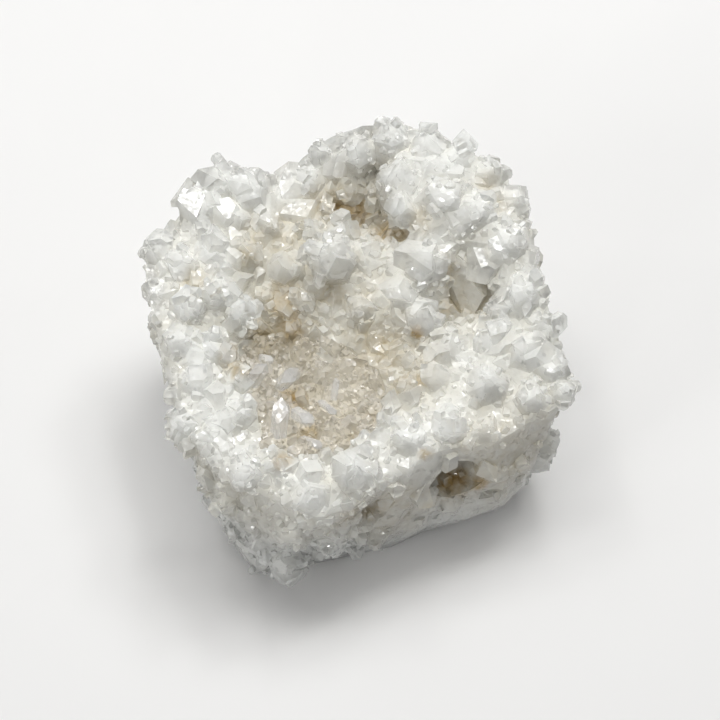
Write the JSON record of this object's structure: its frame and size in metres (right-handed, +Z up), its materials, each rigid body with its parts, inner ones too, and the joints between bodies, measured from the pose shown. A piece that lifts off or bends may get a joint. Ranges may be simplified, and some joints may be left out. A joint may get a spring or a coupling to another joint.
{
  "type": "mineral specimen",
  "caption": "Squarish block of white vein quartz with a druse of stubby crystals, and small slant-ended euclase crystals in an iron-stained hollow.",
  "frame": {"origin": "under the middle of the quartz, on the surface that the specimen rests on", "axes": "+Z up; the druse is on top; -Y is the broken front side, and the block is widest along X"},
  "size_m": [0.052, 0.0504, 0.0306],
  "materials": {
    "quartz": "milky translucent quartz with glassy faces",
    "crust": "small glassy quartz crystals with tan iron stain",
    "euclase": "clear to faintly pinkish glassy crystal"
  },
  "bodies": {
    "root": {"quartz_matrix": "quartz", "hollow_crust": "crust", "euclase_crystal_1": "euclase", "euclase_crystal_2": "euclase", "euclase_crystal_3": "euclase", "euclase_crystal_4": "euclase", "euclase_crystal_5": "euclase", "euclase_crystal_6": "euclase", "euclase_crystal_7": "euclase", "euclase_crystal_8": "euclase"}
  },
  "joints": []
}
